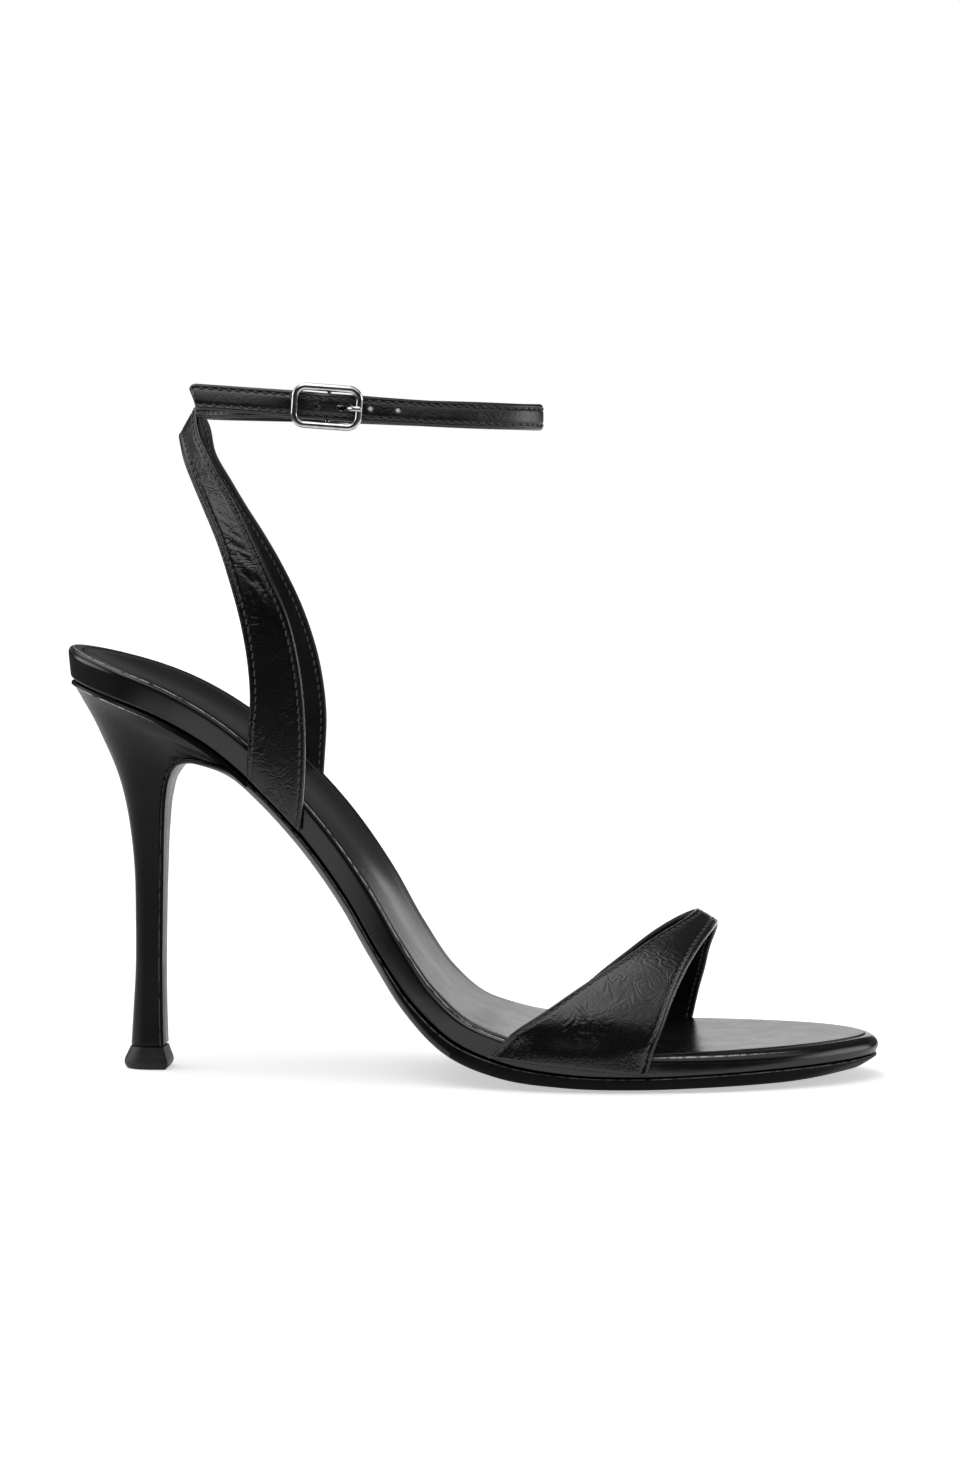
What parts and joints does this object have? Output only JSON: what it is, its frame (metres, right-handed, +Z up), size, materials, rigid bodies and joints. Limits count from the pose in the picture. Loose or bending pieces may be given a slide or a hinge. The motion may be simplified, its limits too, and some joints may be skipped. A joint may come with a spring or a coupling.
{
  "type": "high heel shoe",
  "caption": "High-heeled sandal for the right foot: slim stiletto heel, wrapped platform, strap over the toes and a back strap joined to a buckled ankle strap.",
  "frame": {"origin": "on the floor, under the middle of the shoe's box", "axes": "+X towards the toe, +Y towards the inner (medial) side of the foot, +Z up"},
  "size_m": [0.2101, 0.0803, 0.1777],
  "materials": {
    "outsole": "black sole leather, matt edge and polished underside",
    "rand": "smooth satin black leather wrapped round the platform",
    "insole": "satin black leather sock",
    "heel": "smooth satin black leather cover on a hard plastic heel",
    "heel_tip": "black hard-wearing plastic top piece",
    "vamp_strap": "semi-gloss black leather with fine wrinkles and tonal stitching",
    "ankle_straps": "semi-gloss black leather with fine wrinkles and tonal stitching",
    "buckle_frame": "polished nickel-coloured round wire",
    "buckle_prong": "polished nickel-coloured round wire"
  },
  "bodies": {
    "root": {"outsole": "outsole", "rand": "rand", "insole": "insole", "heel": "heel", "heel_tip": "heel_tip", "vamp_strap": "vamp_strap", "ankle_straps": "ankle_straps", "buckle_frame": "buckle_frame", "buckle_prong": "buckle_prong"}
  },
  "joints": []
}
